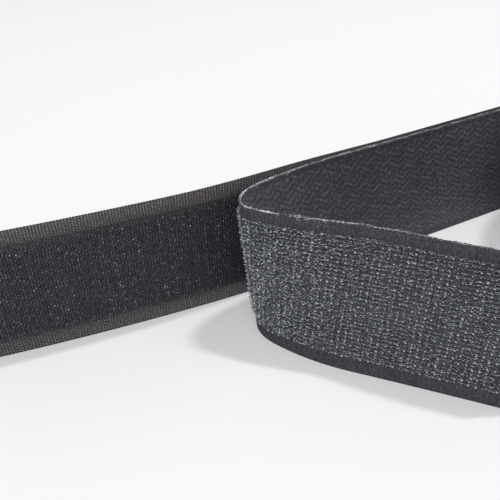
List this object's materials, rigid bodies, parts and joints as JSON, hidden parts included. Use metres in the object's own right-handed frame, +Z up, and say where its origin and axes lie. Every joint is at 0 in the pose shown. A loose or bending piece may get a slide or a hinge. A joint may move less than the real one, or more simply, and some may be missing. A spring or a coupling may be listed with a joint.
{
  "type": "hook and loop tape roll",
  "caption": "Hook tape and loop tape wound together on a card core, their leading lengths pulled off and stood on edge, the hook tape folded back.",
  "frame": {"origin": "under the middle of the whole part, on the surface that the tapes and the core stand on", "axes": "+Z up along the width of the tape and the axis of the roll, +X from the cut end of the loop tape towards the roll"},
  "size_m": [0.3424, 0.146, 0.05],
  "materials": {
    "core_card": "matt wound card",
    "hook_tape_fabric": "charcoal woven nylon",
    "loop_tape_fabric": "black woven nylon, ribbed, with thin see-through edges",
    "binder_coat": "thin satin binder coat with the weave showing through",
    "hook_filament": "charcoal nylon monofilament, glossy at the tips",
    "loop_pile": "black brushed nylon loops"
  },
  "bodies": {
    "root": {"roll_core": "core_card", "hook_tape_wound": "hook_tape_fabric", "loop_tape_wound": "loop_tape_fabric", "hook_tape_back_coat": "binder_coat", "hook_tape_web": "hook_tape_fabric", "hook_tape_hooks": "hook_filament", "loop_tape_web": "loop_tape_fabric", "loop_tape_loops": "loop_pile"}
  },
  "joints": []
}
